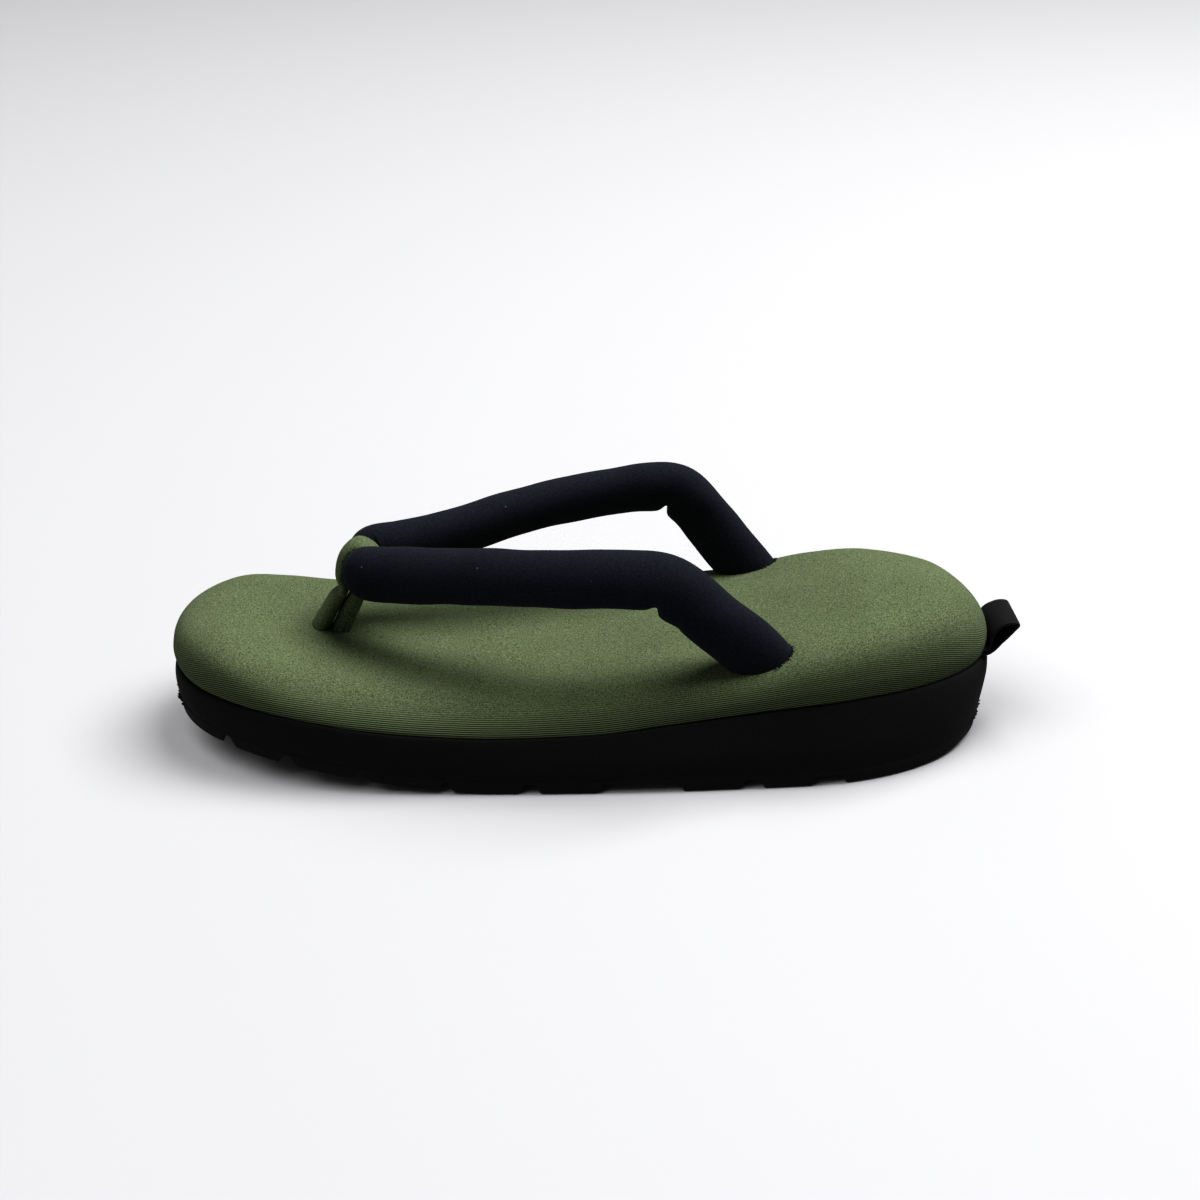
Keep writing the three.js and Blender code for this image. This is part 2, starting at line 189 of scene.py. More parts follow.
# Creases on the inside of each bend, as troughs; a negative depth is a soft ridge.
Fold = namedtuple("Fold", "place from_toe deep wide")
BEND_FOLDS = [
    Fold("roll before the crease", 153, -0.6, 6),
    Fold("crease", 160.5, 2.2, 3.2),
    Fold("roll after the crease", 166.5, -0.8, 4),
    Fold("second crease", 171.5, 0.6, 2),
]

# The thong is one strip looped over the pinch, from its front tail in the cushion to its rear tail.
Strand = namedtuple("Strand", "place from_toe height thick wide")
THONG = [
    Strand("front tail", 44.8, 29.5, 5.2, 9.8),
    Strand("front base", 47.1, 34.6, 6, 10.4),
    Strand("front neck", 50.8, 41.4, 5.6, 10.2),
    Strand("front throat", 52.9, 44.9, 5.4, 9.8),
    Strand("front pinch", 55.6, 48.6, 3.3, 9.4),
    Strand("front", 54.9, 53.6, 4, 9.6),
    Strand("shoulder", 56.6, 60.4, 3.8, 9.4),
    Strand("crest", 61, 64, 3.8, 9.4),
    Strand("dive", 65.8, 61.2, 3.8, 9),
    Strand("crotch", 66.8, 55.6, 4.2, 8.8),
    Strand("rear throat", 60.2, 46.6, 5.2, 9.6),
    Strand("rear neck", 57.2, 41, 6, 10.4),
    Strand("rear base", 54.2, 34.4, 6.1, 10.5),
    Strand("rear tail", 51.6, 29.5, 5.4, 9.8),
]

# The seam drawn in down both sides of the rear strand: its depth, and a larger number for a wider seam.
THONG_SEAM_DEEP = 1.3
THONG_SEAM_WIDE = 0.35

# The tab is a ribbon folded to a loop, from its lower end in the heel seam to its upper one. Its free part
# stands higher on the left, by TAB_TILT of the width, and TAB_EASE is the length in which that comes about.
TAB_WIDE = 22.0
TAB_THICK = 1.2
TAB_TILT = 0.075
TAB_EASE = 4.0
Ribbon = namedtuple("Ribbon", "place from_toe height")
TAB = [
    Ribbon("lower end", 258.5, 29.2),
    Ribbon("lower seam", 266.4, 29.6),
    Ribbon("lower face", 270.6, 33.4),
    Ribbon("under the fold", 273.6, 36.9),
    Ribbon("fold", 275, 38.9),
    Ribbon("over the fold", 273.8, 39.4),
    Ribbon("upper face", 270.6, 38.9),
    Ribbon("bend by the cushion", 267.2, 36),
    Ribbon("upper seam", 265.8, 31),
    Ribbon("upper end", 258.5, 30.5),
]

# Slow lumps of the stuffing in the strap: spacing along it, waves round it and height.
Lump = namedtuple("Lump", "along round deep")
LUMPS = [Lump(53, 1, 0.16), Lump(31, 2, 0.1), Lump(17, 3, 0.06)]

# Cut threads that stand out of the seam where each end of the strap goes into the cushion.
THREAD_LONG = 1.4
THREAD_THICK = 0.36
THREAD_FACING = 0.3  # how squarely the strap's side has to face the heel to have threads
THREAD_STRAY = 0.35
THREAD_OUT = 0.4  # how far out a thread's middle is, as a share of its length: its root is in the strap
THREAD_RANGE = (0.6, 1.1)  # shortest and longest thread as shares of THREAD_LONG
STRAP_END = 4  # the ring that gives the way out from the strap's end
STRAP_LOOK = 40  # rings from the end to search for the cushion's top

# The camera: 25 degrees down on the sandal's left side, far enough for a 62 mm lens to take it in.
CAMERA_X = -1.5
CAMERA_BACK = 614.7
CAMERA_HEIGHT = 330.4
CAMERA_DOWN = 25.0
LENS = 62.0

# The softbox: degrees from straight above towards the heel and backwards, then its distance and width in
# metres and its power in watts.
LIGHT_TO_HEEL = 25.0
LIGHT_BACK = 9.0
LIGHT_AWAY = 2.2
LIGHT_WIDE = 1.6
LIGHT_POWER = 53

# The paper's reach each way in metres, and the wash of light on it: its strength, and the spread of its rays
# and its lean in degrees.
PAPER_REACH = 8.0
WASH_POWER = 1.7
WASH_SPREAD = 50
WASH_LEAN = (-18, 22, 0)

# Brightness of the room: it glows from the paper below and the open side by the toe, and is dim elsewhere;
# ROOM_FADE is larger for a softer change.
ROOM_GLOW_FROM = (0.75, 0, -0.66)
ROOM_GLOW = 0.36
ROOM_DIM = 0.06
ROOM_FADE = 0.3

# Sizes of the materials' patterns. The yarn's grit, the rows of stitches and the pores are drawn coarser
# than the real ones, which wouldn't show.
YARN_GRIT = 0.45
STITCH_ROWS = 0.7
DYE_BLOTCH = 28.0
LINT_APART = 7.0
LINT_RADIUS = 0.315
EVA_PORES = 0.7
SPONGE_PORES = 1.0
RIBBON_RIBS = 0.7

# Dark and light tones of each finish; then the dark ground between parted rows of stitches, which low on the
# cushion is also painted shade on its side, lint and the paper.
OLIVE = ("#4f593f", "#859171")
NAVY = ("#22232b", "#33353e")
BLACK_FOAM = ("#252526", "#303031")
BLACK_RIBBON = ("#1c1c1d", "#2a2a2b")
# Painted shade in part: this dark ground darkens the cushion's lower side as well as showing between real
# rows.
ROW_GROUND_AND_PAINTED_SHADE = "#20251a"
LINT = "#6a6c70"
PAPER = "#b6b6b8"


# Curves and tables

def unit(vectors):
    """Vectors scaled to a length of one."""
    return vectors / np.linalg.norm(vectors, axis=-1, keepdims=True)


def travelled(path):
    """Distance from the start of a path to each of its points."""
    return np.concatenate([[0], np.cumsum(np.linalg.norm(np.diff(path, axis=0), axis=1))])


def along(column, from_toe):
    """Smooth value of a PROFILE column at distances from the toe, with no overshoot between rows."""
    xs = np.array([row.from_toe for row in PROFILE], float)
    ys = np.array([getattr(row, column) for row in PROFILE], float)
    rise = np.diff(ys) / np.diff(xs)
    slope = np.zeros_like(ys)
    slope[0], slope[-1] = rise[0], rise[-1]
    product = rise[:-1] * rise[1:]
    total = np.where(product > 0, rise[:-1] + rise[1:], 1)
    slope[1:-1] = np.where(product > 0, 2 * product / total, 0)
    place = np.clip(np.asarray(from_toe, float), 0, LENGTH)
    row = np.clip(np.searchsorted(xs, place) - 1, 0, len(xs) - 2)
    span = xs[row + 1] - xs[row]
    t = (place - xs[row]) / span
    leave = ys[row] * (1 + 2 * t) + slope[row] * span * t
    arrive = ys[row + 1] * (3 - 2 * t) - slope[row + 1] * span * (1 - t)
    return leave * (1 - t) ** 2 + arrive * t ** 2


def through(rows, steps):
    """A centripetal curve through rows of numbers, steps points to each span."""
    points = np.asarray(rows, float)
    padded = np.vstack([2 * points[0] - points[1], points, 2 * points[-1] - points[-2]])
    curve = []
    for i in range(1, len(padded) - 2):
        p0, p1, p2, p3 = padded[i - 1:i + 3]
        spans = (p1 - p0, p2 - p1, p3 - p2)
        gaps = [max(np.linalg.norm(span[:3]), 1e-6) ** 0.5 for span in spans]
        leave = ((p1 - p0) / gaps[0] - (p2 - p0) / (gaps[0] + gaps[1]) + (p2 - p1) / gaps[1]) * gaps[1]
        arrive = ((p2 - p1) / gaps[1] - (p3 - p1) / (gaps[1] + gaps[2]) + (p3 - p2) / gaps[2]) * gaps[1]
        for t in np.arange(steps) / steps:
            square, cube = t * t, t ** 3
            curve.append(
                (2 * cube - 3 * square + 1) * p1
                + (cube - 2 * square + t) * leave
                + (3 * square - 2 * cube) * p2
                + (cube - square) * arrive
            )
    return np.array(curve + [points[-1]])


def outline_edge(count):
    """The outline round the sandal, count even steps a side, with the direction that points outwards."""
    dense = []
    for start, end in zip(OUTLINE, OUTLINE[1:]):
        turn = [math.radians(corner.heading) for corner in (start, end)]
        p0 = np.array([start.from_toe, start.half], float)
        p3 = np.array([end.from_toe, end.half], float)
        p1 = p0 + start.after * np.array([math.cos(turn[0]), math.sin(turn[0])])
        p2 = p3 - end.before * np.array([math.cos(turn[1]), math.sin(turn[1])])
        t = np.linspace(0, 1, 400)[:, None]
        near = (1 - t) ** 3 * p0 + 3 * t * (1 - t) ** 2 * p1
        dense.append(near + 3 * t * t * (1 - t) * p2 + t ** 3 * p3)
    half = np.vstack(dense)
    run = travelled(half)
    even = np.linspace(0, run[-1], count + 1)
    left = np.stack([np.interp(even, run, half[:, 0]), np.interp(even, run, half[:, 1])], axis=1)
    points = np.vstack([left, left[-2:0:-1] * [1, -1]])
    ahead = unit(np.roll(points, -1, axis=0) - np.roll(points, 1, axis=0))
    return points, np.stack([-ahead[:, 1], ahead[:, 0]], axis=1)


def crest_at(from_toe, side):
    """Top of the cushion at its full height, dimples included."""
    height = along("crest", from_toe)
    for dimple in DIMPLES:
        away = np.hypot(from_toe - dimple.from_toe, side - dimple.side) / dimple.reach
        height = height - dimple.deep * np.exp(-2 * away * away)
    return height


def ring(edge, inset, height_at):
    """The outline moved inwards, at the height that height_at gives for place, side and station."""
    points, outward = edge
    flat = points - outward * np.broadcast_to(inset, len(points))[:, None]
    height = height_at(flat[:, 0], flat[:, 1], points[:, 0])
    return np.column_stack([TOE_X - flat[:, 0], flat[:, 1], height])


def drawn_in(edge, share, height_at):
    """The outline drawn part of the way in to the spine on the centre line."""
    points = edge[0]
    centre = np.clip(points[:, 0], TOE_CENTRE, HEEL_CENTRE)
    place = points[:, 0] + share * (centre - points[:, 0])
    side = points[:, 1] * (1 - share)
    return np.column_stack([TOE_X - place, side, height_at(place, side)])


# Meshes

def skinned(name, rings, material, chart=None):
    """A closed mesh over rings of points in mm; chart holds two numbers a point for the cloth's pattern."""
    rings = np.array(rings, float)
    layers, count = rings.shape[:2]
    index = np.arange(layers * count).reshape(layers, count)
    ahead = np.roll(index, -1, axis=1)
    faces = np.stack([index[:-1], ahead[:-1], ahead[1:], index[1:]], axis=-1).reshape(-1, 4)
    mesh = bpy.data.meshes.new(name)
    mesh.from_pydata((rings.reshape(-1, 3) * MM).tolist(), [], faces.tolist())
    if chart is not None:
        laid = chart.reshape(-1, 2)[faces.reshape(-1)]
        mesh.uv_layers.new(name="fabric").data.foreach_set("uv", laid.reshape(-1))
    made = bmesh.new()
    made.from_mesh(mesh)
    bmesh.ops.remove_doubles(made, verts=made.verts, dist=1e-7)
    bmesh.ops.dissolve_degenerate(made, edges=made.edges, dist=1e-7)
    bmesh.ops.recalc_face_normals(made, faces=made.faces)
    return finished(name, made, mesh, material)


def finished(name, made, mesh, material):
    """A smooth-shaded piece from a bmesh, riding with the sandal."""
    made.to_mesh(mesh)
    made.free()
    mesh.polygons.foreach_set("use_smooth", [True] * len(mesh.polygons))
    piece = bpy.data.objects.new(name, mesh)
    bpy.context.collection.objects.link(piece)
    mesh.materials.append(material)
    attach(piece, "root")
    return piece


def slab_rings(edge, sides, low_at, high_at, under_steps, ragged):
    """Rings of a slab whose side follows a table; ragged roughens its trimmed edge at toe and heel."""
    draw = np.random.default_rng(SEED)
    station = edge[0][:, 0]
    bulge_out = along("bulge", station)
    flare_out = along("flare", station)
    ends = np.exp(-station / TRIM_TOE) + np.exp((station - LENGTH) / TRIM_HEEL)
    tooth = -np.abs(draw.normal(0, ragged, len(station))) * ends
    low, high = low_at(station), high_at(station)
    rings = []
    for level, inset, bulge, flare in through(sides, steps=3):
        trim = tooth * np.exp(-((level - 1) / TRIM_HIGH) ** 2)
        height = low + level * (high - low)
        inwards = inset + trim - bulge * bulge_out - flare * flare_out
        rings.append(ring(edge, inwards, lambda x, y, s: height))
    under = [drawn_in(edge, share, lambda x, y: low_at(x)) for share in np.linspace(1, 0.04, under_steps)]
    over = [drawn_in(edge, share, lambda x, y: high_at(x)) for share in (0.1, 0.45, 1)]
    return under + rings + over


def lug_at(place):
    """Underside of the tread, its grooves' walls eased at top and foot."""
    height = along("tread", place)
    for groove in GROOVES:
        inside = groove.wide / 2 + GROOVE_EASE - np.abs(place - groove.from_toe)
        wall = np.clip(inside / (GROOVE_DRAFT + 2 * GROOVE_EASE), 0, 1)
        height = np.maximum(height, along("tread", place) + GROOVE_DEEP * wall * wall * (3 - 2 * wall))
    return height


def web_at(place):
    """Top of the sheet of tread."""
    return along("tread", place) + TREAD_SHEET


def wedge_foot_at(place):
    """Underside of the wedge, a line of glue above the tread."""
    return web_at(place) + GLUE_LINE


def seat_at(place):
    """Top of the wedge."""
    return along("seat", place)


def floor_at(place):
    """Underside of the cushion."""
    return seat_at(place) + SEAT_GAP


def cover_chart(points):
    """For each point of the cover, its share of the cushion's height and its metres across the rows."""
    place = TOE_X - points[..., 0]
    floor = floor_at(place)
    top = along("crest", place)
    lift = points[..., 2] - floor
    from_middle = np.hypot(points[..., 1], ROWS_TURN) + top - points[..., 2]
    across = ROWS_BY_MIDDLE * from_middle - (1 - ROWS_BY_MIDDLE) * lift
    return np.stack([lift / (top - floor), across * MM], axis=-1)


def make_cushion(material):
    """The foam cushion under its knit cover, swelling out over the sole and crowned along the middle."""
    edge = outline_edge(EDGE_STEPS)
    rings = [drawn_in(edge, share, lambda x, y: floor_at(x)) for share in (1, 0.5, 0.1)]
    roundness = along("round", edge[0][:, 0])
    edge_rows = [[row.full, row.round, row.rise * CUSHION_USUAL] for row in CUSHION_EDGE]
    for full, round_in, lift in through(edge_rows, steps=5):
        inset = full + (round_in - full) * roundness
        rise = lift / CUSHION_USUAL
        rings.append(ring(edge, inset, lambda x, y, s: (1 - rise) * floor_at(s) + rise * crest_at(x, y)))
    rim = rings[-1]
    crown = through([Crown(0, CUSHION_EDGE[-1].rise), *CUSHION_CROWN], steps=8)
    first = CUSHION_CROWN[0].share
    for share, rise in crown[1:]:
        inner = drawn_in(edge, max(share, first), lambda x, y: x * 0)
        ease = min(1.0, share / first)
        flat = rim[:, :2] * (1 - ease) + inner[:, :2] * ease
        place = TOE_X - flat[:, 0]
        top = (1 - rise) * floor_at(place) + rise * crest_at(place, flat[:, 1])
        rings.append(np.column_stack([flat, top]))
    return skinned("cushion", rings, material, cover_chart(np.array(rings)))


def swept(path, across, thin, broad, sides, corner):
    """Rings of a roll along a path in mm: ovals, or squarer where corner is above 2."""
    lift = np.cross(unit(np.gradient(path, axis=0)), across)
    angle = 2 * np.pi * np.arange(sides) / sides - np.pi / 2
    out = [np.sign(value) * np.abs(value) ** (2 / corner) for value in (np.cos(angle), np.sin(angle))]
    return np.array([
        centre + np.outer(out[0] * t, a) + np.outer(out[1] * b, u)
        for centre, a, u, t, b in zip(path, across, lift, thin, broad)
    ])


def shut(rings):
    """Rings with a point at each end, to close the roll."""
    ends = [np.repeat(rings[end].mean(axis=0)[None], rings.shape[1], axis=0) for end in (0, -1)]
    return [ends[0], *rings, ends[1]]


def strap_half(hand):
    """Rows of the strap on one side, pinch first; hand is 1 on the left and -1 on the right."""
    return [
        [TOE_X - r.from_toe + hand * r.skew * BEND_SKEW, hand * r.side, r.height, r.thin, r.broad, r.lean]
        for r in STRAP
    ]


def strap_rings():
    """Rings of the stuffed strap in one sweep from tail to tail, with folds on the inside of each bend."""
    table = through([*strap_half(1)[::-1], *strap_half(-1)[1:]], steps=20)
    path = table[:, :3]
    run = unit(np.gradient(path, axis=0))
    level = unit(np.cross([0, 0, 1], run))
    lean = np.radians(table[:, 5])[:, None]
    across = level * np.cos(lean) + np.cross(run, level) * np.sin(lean)
    rings = swept(path, across, table[:, 3], table[:, 4], STRAP_ROUND, corner=2)
    travel = travelled(path)
    turn = np.gradient(run, axis=0)
    outward = unit(rings - path[:, None])
    draw = np.random.default_rng(SEED)
    angle = 2 * np.pi * np.arange(STRAP_ROUND) / STRAP_ROUND
    for lump in LUMPS:
        turned = 2 * np.pi * travel[:, None] / lump.along + lump.round * angle
        wave = np.sin(turned + draw.uniform(0, 6.28))
        rings = rings + outward * (lump.deep * wave)[..., None]
    for hand in (1, -1):
        side = np.where(hand * path[:, 1] > BEND_SIDE)[0]
        for fold in BEND_FOLDS:
            place = TOE_X - fold.from_toe + hand * BEND_SKEW
            at = side[np.argmin(np.abs(path[side, 0] - place))]
            inside = unit(turn[at])
            near = np.exp(-((travel - travel[at]) / fold.wide) ** 2)[:, None]
            facing = np.clip(outward @ inside, 0, 1) ** 2
            rings = rings - outward * (fold.deep * near * facing)[..., None]
    return rings


def make_strap(rings, material):
    """The stuffed strap, shut at both tails."""
    return skinned("strap", shut(rings), material)


def first_clear(line, skin):
    """The first point up a line on the strap's side that is above the cushion, in metres."""
    for point in line * MM:
        top = skin.ray_cast(Vector((point[0], point[1], 1)), Vector((0, 0, -1)))[0]
        if point[2] > top.z:
            break
    return Vector(point)


def make_threads(rings, cushion, material):
    """Short cut threads on the heel side of each end of the strap, lying out over the cushion."""
    draw = np.random.default_rng(SEED)
    cover = cushion.data
    corners = [corner.co for corner in cover.vertices]
    skin = BVHTree.FromPolygons(corners, [face.vertices for face in cover.polygons])
    made = bmesh.new()
    for end in (rings, rings[::-1]):
        outward = unit(end[STRAP_END] - end[STRAP_END].mean(axis=0))
        for column in np.where(-outward[:, 0] > THREAD_FACING)[0]:
            for share in (0, 0.5):
                beside = end[:STRAP_LOOK, (column + 1) % len(outward)]
                line = end[:STRAP_LOOK, column] * (1 - share) + beside * share
                way = Vector(outward[column] * [1, 1, 0]) + Vector(draw.normal(0, THREAD_STRAY, 3))
                way.normalize()
                middle = first_clear(line, skin) + way * THREAD_LONG * MM * THREAD_OUT
                turn = way.to_track_quat("Z", "Y").to_matrix().to_4x4()
                bmesh.ops.create_cone(
                    made,
                    cap_ends=True,
                    segments=6,
                    radius1=THREAD_THICK / 2 * MM,
                    radius2=THREAD_THICK / 5 * MM,
                    depth=THREAD_LONG * MM * draw.uniform(*THREAD_RANGE),
                    matrix=Matrix.Translation(middle) @ turn,
                )
    return finished("strap_threads", made, bpy.data.meshes.new("strap_threads"), material)


def strand_rings(rows, steps, corner):
    """Rings of a band that runs along the centre line, with the curve that they follow."""
    table = through([[TOE_X - r.from_toe, 0, r.height, r.wide / 2, r.thick / 2] for r in rows], steps)
    across = np.repeat([[0.0, 1.0, 0.0]], len(table), axis=0)
    return swept(table[:, :3], across, table[:, 3], table[:, 4], BAND_ROUND, corner), table[:, :3]


def make_thong(material):
    """The looped thong, with the seam of its rolled strip down the sides of the rear strand."""
    rings, path = strand_rings(THONG, steps=12, corner=2)
    outward = unit(rings - path[:, None])
    crotch = [row.place for row in THONG].index("crotch")
    strand = np.clip(np.linspace(0, len(THONG) - 1, len(path)) - crotch, 0, 1)[:, None]
    seam = np.exp(-((np.abs(outward[..., 1]) - 1) / (THONG_SEAM_WIDE ** 2)) ** 2)
    rings = rings - outward * (THONG_SEAM_DEEP * strand * seam)[..., None]
    return skinned("thong", shut(rings), material)


def make_tread(material):
    """The sheet of tread with its lugs, their edges soft as moulded sponge rubber's are."""
    edge = outline_edge(TREAD_STEPS)
    rings = slab_rings(edge, OUTSOLE_SIDE, lug_at, web_at, under_steps=50, ragged=TRIM_RAGGED)
    return skinned("tread", rings, material)


def make_wedge(material):
    """The foam wedge between tread and cushion."""
    edge = outline_edge(EDGE_STEPS)
    rings = slab_rings(edge, MIDSOLE_SIDE, wedge_foot_at, seat_at, under_steps=3, ragged=0)
    return skinned("wedge", rings, material)


def make_tab(material):
    """The bare ribbon folded to a loop, its two ends laid together into the heel seam."""
    rows = [Strand(*row, TAB_THICK, TAB_WIDE) for row in TAB]
    rings, path = strand_rings(rows, steps=8, corner=8)
    free = np.clip((TOE_X - LENGTH - rings[..., 0]) / TAB_EASE, 0, 1)
    rings[..., 2] += TAB_TILT * free * rings[..., 1]
    travel = travelled(path)
    closed = np.array(shut(rings))
    laid = np.broadcast_to(np.array([0, *travel, travel[-1]])[:, None], closed.shape[:2])
    tab = skinned("tab", closed, material, np.stack([closed[..., 1], laid], axis=-1) * MM)
    return tab


# Materials

def linear(colour):
    """An sRGB hex colour as linear red, green, blue and alpha."""
    parts = [int(colour[i:i + 2], 16) / 255 for i in (1, 3, 5)]
    return [v / 12.92 if v <= 0.04045 else ((v + 0.055) / 1.055) ** 2.4 for v in parts] + [1.0]


def add(owner, kind, settings=None, links=None):
    """One node: settings are its own properties, links are values or other sockets for its inputs."""
    node = owner.node_tree.nodes.new(kind)
    for key, value in (settings or {}).items():
        setattr(node, key, value)
    for key, value in (links or {}).items():
        if isinstance(value, bpy.types.NodeSocket):
            owner.node_tree.links.new(value, node.inputs[key])
        else:
            node.inputs[key].default_value = value
    return node


def emptied(owner):
    """A new material or room, ready for its own nodes."""
    owner.use_nodes = True
    owner.node_tree.nodes.clear()
    return owner


def band_scale(apart):
    """Scale of a wave texture whose bands lie so many mm apart."""
    return math.pi / 10 / (apart * MM)


def knit_neoprene(name, dark, light, rows_high, lint):
    """Knit-faced neoprene: heathered jersey, matt and a little gritty, with a soft nap.

    Below rows_high, a share of the cushion's height, the knit is stretched: its lengthwise rows of stitches
    part and the dark ground shows between them; that dark ground, strongest low down, is also painted shade
    on the cushion's side. Rows and grit are drawn coarser than the real ones, so that they show. lint is the
    share of places that hold a pale speck.
    """
    material = emptied(bpy.data.materials.new(name))
    place = add(material, "ShaderNodeTexCoord").outputs["Object"]
    grit = add(material, "ShaderNodeTexNoise", {},
               {"Vector": place, "Scale": 1 / (YARN_GRIT * MM), "Detail": 1.0, "Roughness": 0.6})
    heather = grit.outputs["Fac"]
    if rows_high:
        chart = add(material, "ShaderNodeUVMap", {"uv_map": "fabric"}).outputs["UV"]
        rows = add(material, "ShaderNodeTexWave", {"bands_direction": "Y"},
                   {"Vector": chart, "Scale": band_scale(STITCH_ROWS), "Distortion": 0.8, "Detail": 2.0,
                    "Detail Scale": 2.5})
        up = add(material, "ShaderNodeSeparateXYZ", {}, {"Vector": chart}).outputs["X"]
        # Strongest low on the cushion: the real rows, and the painted shade of the dark ground between them.
        low_rows_and_shade = add(material, "ShaderNodeMapRange", {"interpolation_type": "SMOOTHSTEP"},
                     {"Value": up, "From Min": ROWS_FULL * rows_high, "From Max": rows_high,
                      "To Min": ROWS_STRENGTH, "To Max": 0.0})
        heather = add(material, "ShaderNodeMix", {"data_type": "FLOAT"},
                      {0: low_rows_and_shade.outputs["Result"], 2: heather, 3: rows.outputs["Fac"]}).outputs[0]
    blotch = add(material, "ShaderNodeTexNoise", {},
                 {"Vector": place, "Scale": 1 / (DYE_BLOTCH * MM), "Detail": 2.0, "Roughness": 0.5})
    tone = add(material, "ShaderNodeMix", {"data_type": "FLOAT"},
               {0: 0.12, 2: heather, 3: blotch.outputs["Fac"]})
    spread = add(material, "ShaderNodeMapRange", {},
                 {"Value": tone.outputs[0], "From Min": 0.32, "From Max": 0.68})
    colour = add(material, "ShaderNodeMix", {"data_type": "RGBA"},
                 {0: spread.outputs["Result"], 6: linear(dark), 7: linear(light)}).outputs[2]
    if rows_high:
        # Painted shade: low on the cushion the dark ground between the rows darkens its side, as well as
        # showing the rows.
        row_gaps_and_shade = add(material, "ShaderNodeMix", {"data_type": "FLOAT"},
                  {0: rows.outputs["Fac"], 2: low_rows_and_shade.outputs["Result"], 3: 0.0})
        colour = add(material, "ShaderNodeMix", {"data_type": "RGBA"},
                     {0: row_gaps_and_shade.outputs[0], 6: colour, 7: linear(ROW_GROUND_AND_PAINTED_SHADE)}).outputs[2]
    if lint:
        cells = add(material, "ShaderNodeTexVoronoi", {}, {"Vector": place, "Scale": 1 / (LINT_APART * MM)})
        speck = add(material, "ShaderNodeMath", {"operation": "LESS_THAN"},
                    {0: cells.outputs["Distance"], 1: LINT_RADIUS / LINT_APART})
        chosen = add(material, "ShaderNodeMath", {"operation": "LESS_THAN"},
                     {0: cells.outputs["Color"], 1: lint})
        fluff = add(material, "ShaderNodeMath", {"operation": "MULTIPLY"},
                    {0: speck.outputs[0], 1: chosen.outputs[0]})
        colour = add(material, "ShaderNodeMix", {"data_type": "RGBA"},
                     {0: fluff.outputs[0], 6: colour, 7: linear(LINT)}).outputs[2]
    bump = add(material, "ShaderNodeBump", {}, {"Strength": 0.6, "Distance": 0.14 * MM, "Height": heather})
    shader = add(material, "ShaderNodeBsdfPrincipled", {}, {
        "Base Color": colour, "Roughness": 0.95, "IOR": 1.45, "Specular IOR Level": 0.12,
        "Sheen Weight": 0.04, "Sheen Roughness": 0.5, "Normal": bump.outputs["Normal"],
    })
    add(material, "ShaderNodeOutputMaterial", {}, {"Surface": shader.outputs["BSDF"]})
    return material


def foam_rubber(name, dark, light, pore_mm, roughness):
    """Buffed black foam or sponge rubber: dull, with pores, drawn coarse, that catch a little light."""
    material = emptied(bpy.data.materials.new(name))
    place = add(material, "ShaderNodeTexCoord").outputs["Object"]
    pores = add(material, "ShaderNodeTexNoise", {},
                {"Vector": place, "Scale": 1 / (pore_mm * MM), "Detail": 4.0, "Roughness": 0.65})
    tone = add(material, "ShaderNodeMix", {"data_type": "RGBA"},
               {0: pores.outputs["Fac"], 6: linear(dark), 7: linear(light)})
    bump = add(material, "ShaderNodeBump", {},
               {"Strength": 0.35, "Distance": 0.2 * MM, "Height": pores.outputs["Fac"]})
    shader = add(material, "ShaderNodeBsdfPrincipled", {}, {
        "Base Color": tone.outputs[2], "Roughness": roughness, "IOR": 1.5, "Specular IOR Level": 0.15,
        "Normal": bump.outputs["Normal"],
    })
    add(material, "ShaderNodeOutputMaterial", {}, {"Surface": shader.outputs["BSDF"]})
    return material


def webbing(name, dark, light):
    """Woven polyester ribbon: ribs across its width and a slight silky shine."""
    material = emptied(bpy.data.materials.new(name))
    chart = add(material, "ShaderNodeUVMap", {"uv_map": "fabric"}).outputs["UV"]
    ribs = add(material, "ShaderNodeTexWave", {"bands_direction": "Y"},
               {"Vector": chart, "Scale": band_scale(RIBBON_RIBS), "Distortion": 0.3})
    tone = add(material, "ShaderNodeMix", {"data_type": "RGBA"},
               {0: ribs.outputs["Fac"], 6: linear(dark), 7: linear(light)})
    bump = add(material, "ShaderNodeBump", {},
               {"Strength": 0.6, "Distance": 0.1 * MM, "Height": ribs.outputs["Fac"]})
    shader = add(material, "ShaderNodeBsdfPrincipled", {}, {
        "Base Color": tone.outputs[2], "Roughness": 0.7, "IOR": 1.5, "Specular IOR Level": 0.2,
        "Normal": bump.outputs["Normal"],
    })
    add(material, "ShaderNodeOutputMaterial", {}, {"Surface": shader.outputs["BSDF"]})
    return material


# The sandal

green = knit_neoprene("olive knit neoprene", *OLIVE, rows_high=0.8, lint=0)
thong_green = knit_neoprene("olive knit neoprene thong", *OLIVE, rows_high=0, lint=0)
navy = knit_neoprene("navy knit neoprene", *NAVY, rows_high=0, lint=0.4)
eva = foam_rubber("buffed black EVA foam", *BLACK_FOAM, pore_mm=EVA_PORES, roughness=0.9)
rubber = foam_rubber("black sponge rubber", *BLACK_FOAM, pore_mm=SPONGE_PORES, roughness=0.85)
ribbon = webbing("black woven ribbon", *BLACK_RIBBON)

cushion = make_cushion(green)
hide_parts("footbed")

roll = strap_rings()
strap = make_strap(roll, navy)
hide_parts("hanao")
threads = make_threads(roll, cushion, navy)

thong = make_thong(thong_green)
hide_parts("maetsubo")

wedge = make_wedge(eva)
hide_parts("midsole")
tread = make_tread(rubber)
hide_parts("outsole")

tab = make_tab(ribbon)
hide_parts("heel_tab")


# Floor, light and camera

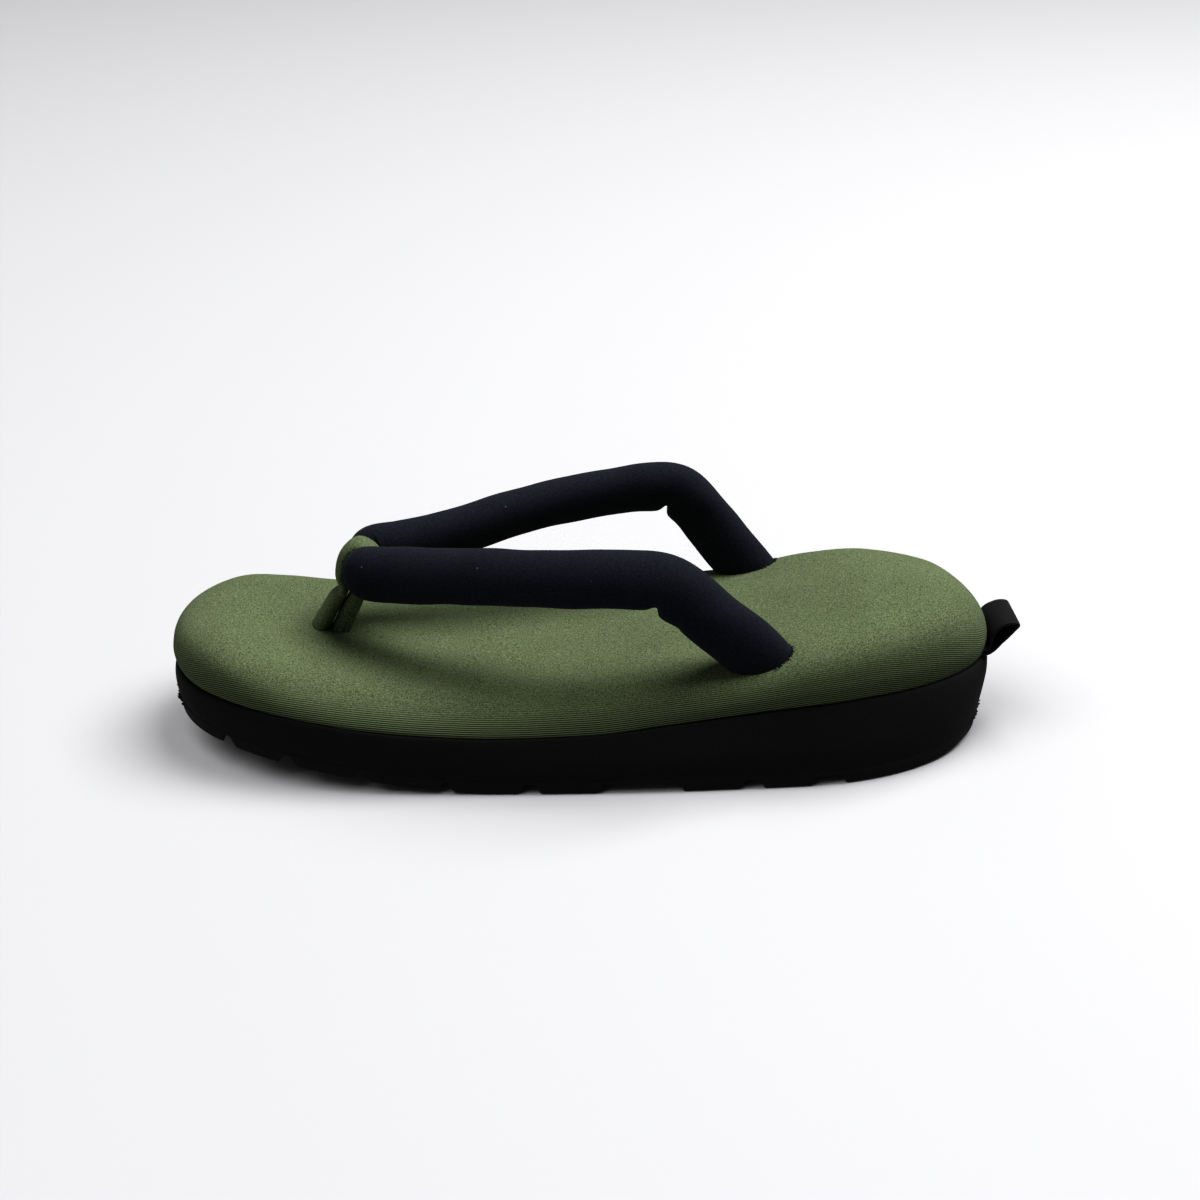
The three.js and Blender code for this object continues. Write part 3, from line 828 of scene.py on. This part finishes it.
def make_paper():
    """A sheet of plain matt paper, pale and even; what it sends back up is part of the room's glow."""
    mesh = bpy.data.meshes.new("floor")
    corners = [(x * PAPER_REACH, y * PAPER_REACH, 0) for x, y in ((-1, -1), (1, -1), (1, 1), (-1, 1))]
    mesh.from_pydata(corners, [], [(0, 1, 2, 3)])
    floor = bpy.data.objects.new("floor", mesh)
    bpy.context.collection.objects.link(floor)
    paper = emptied(bpy.data.materials.new("pale paper"))
    shader = add(paper, "ShaderNodeBsdfPrincipled", {},
                 {"Base Color": linear(PAPER), "Roughness": 0.9, "Specular IOR Level": 0.1})
    add(paper, "ShaderNodeOutputMaterial", {}, {"Surface": shader.outputs["BSDF"]})
    mesh.materials.append(paper)
    floor.visible_diffuse = False
    return floor


def make_softbox():
    """A broad soft light above the sandal, towards its heel."""
    lamp = bpy.data.lights.new("softbox", "AREA")
    lamp.shape = "RECTANGLE"
    lamp.size = LIGHT_WIDE
    lamp.size_y = LIGHT_WIDE
    lamp.energy = LIGHT_POWER
    softbox = bpy.data.objects.new("softbox", lamp)
    lean = [math.tan(math.radians(angle)) for angle in (LIGHT_TO_HEEL, LIGHT_BACK)]
    toward = Vector((-lean[0], -lean[1], 1)).normalized()
    softbox.location = toward * LIGHT_AWAY
    softbox.rotation_euler = toward.to_track_quat("Z", "Y").to_euler()
    bpy.context.collection.objects.link(softbox)


def make_wash(floor):
    """An even wash of light on the paper alone."""
    sheet_only = bpy.data.collections.new("paper")
    sheet_only.objects.link(floor)
    wash = bpy.data.lights.new("paper wash", "SUN")
    wash.energy = WASH_POWER
    wash.angle = math.radians(WASH_SPREAD)
    washer = bpy.data.objects.new("paper wash", wash)
    washer.light_linking.receiver_collection = sheet_only
    washer.rotation_euler = [math.radians(angle) for angle in WASH_LEAN]
    bpy.context.collection.objects.link(washer)


def make_room():
    """The room round the sandal, brighter from below and from the side by the toe."""
    world = emptied(bpy.data.worlds.new("room"))
    way = add(world, "ShaderNodeTexCoord").outputs["Generated"]
    facing = add(world, "ShaderNodeVectorMath", {"operation": "DOT_PRODUCT"}, {0: way, 1: ROOM_GLOW_FROM})
    glow = add(world, "ShaderNodeMapRange", {},
               {"Value": facing.outputs["Value"], "From Min": -ROOM_FADE, "From Max": ROOM_FADE,
                "To Min": ROOM_DIM, "To Max": ROOM_GLOW})
    background = add(world, "ShaderNodeBackground", {},
                     {"Color": linear("#ffffff"), "Strength": glow.outputs["Result"]})
    add(world, "ShaderNodeOutputWorld", {}, {"Surface": background.outputs["Background"]})
    bpy.context.scene.world = world


def make_camera():
    """The camera, level from side to side and turned to face the sandal's left side."""
    lens = bpy.data.cameras.new("camera")
    lens.lens = LENS
    lens.clip_start = 0.01
    camera = bpy.data.objects.new("camera", lens)
    camera.location = (CAMERA_X * MM, CAMERA_BACK * MM, CAMERA_HEIGHT * MM)
    camera.rotation_euler = (math.radians(90 - CAMERA_DOWN), 0, math.pi)
    bpy.context.collection.objects.link(camera)
    bpy.context.scene.camera = camera


paper_floor = make_paper()
make_softbox()
make_wash(paper_floor)
make_room()
make_camera()
bpy.context.scene.view_settings.view_transform = "Standard"
bpy.context.scene.view_settings.look = "High Contrast"
